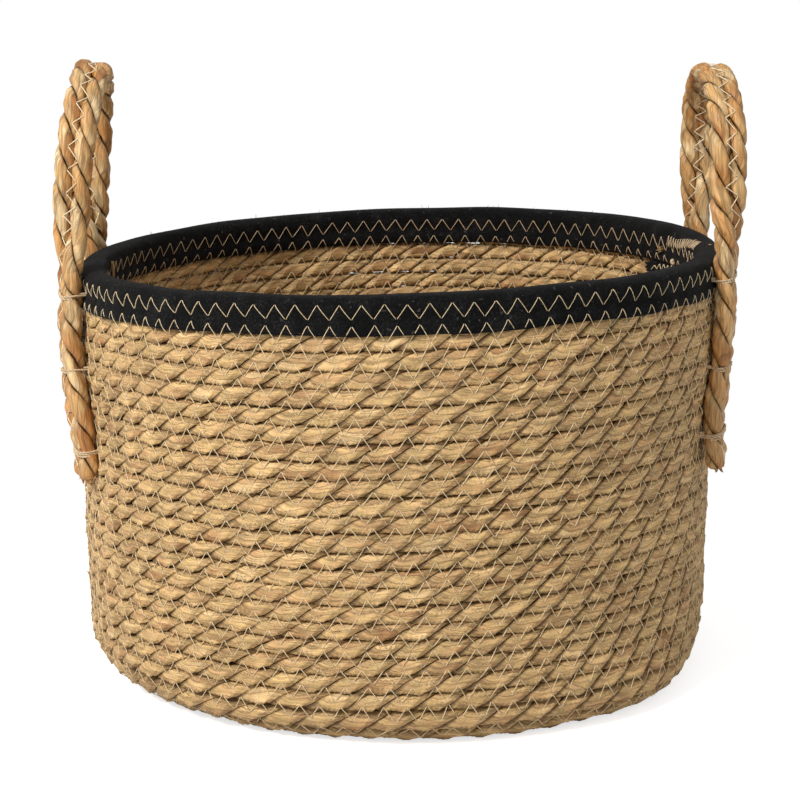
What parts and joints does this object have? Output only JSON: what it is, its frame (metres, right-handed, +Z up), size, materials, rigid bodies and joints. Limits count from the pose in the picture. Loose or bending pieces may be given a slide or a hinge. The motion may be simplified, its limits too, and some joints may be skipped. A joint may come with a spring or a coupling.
{
  "type": "coiled rope storage basket",
  "caption": "Round open storage basket of coiled seagrass rope with a folded cotton rim binding and arched rope handles lashed to the outside of its wall.",
  "frame": {"origin": "centre of the basket's footprint, on the surface it stands on", "axes": "+Z up along the basket's axis, +X towards one handle and across both, -Y towards the viewer of the picture"},
  "size_m": [0.3536, 0.3406, 0.319],
  "materials": {
    "seagrass": "dry twisted grass, matt",
    "handle_rope": "dry twisted grass, golden, slightly glossy",
    "binding": "felted black cotton strip",
    "thread": "cream cotton thread"
  },
  "bodies": {
    "root": {"floor_coil": "seagrass", "wall_coil": "seagrass", "rim_coil": "seagrass", "rim_binding": "binding", "binding_lap": "binding", "left_handle_outer_rope": "handle_rope", "left_handle_inner_rope": "handle_rope", "right_handle_outer_rope": "handle_rope", "right_handle_inner_rope": "handle_rope", "left_front_upper_lashing": "thread", "left_front_middle_lashing": "thread", "left_front_lower_lashing": "thread", "left_back_upper_lashing": "thread", "left_back_middle_lashing": "thread", "left_back_lower_lashing": "thread", "right_front_upper_lashing": "thread", "right_front_middle_lashing": "thread", "right_front_lower_lashing": "thread", "right_back_upper_lashing": "thread", "right_back_middle_lashing": "thread", "right_back_lower_lashing": "thread"}
  },
  "joints": []
}
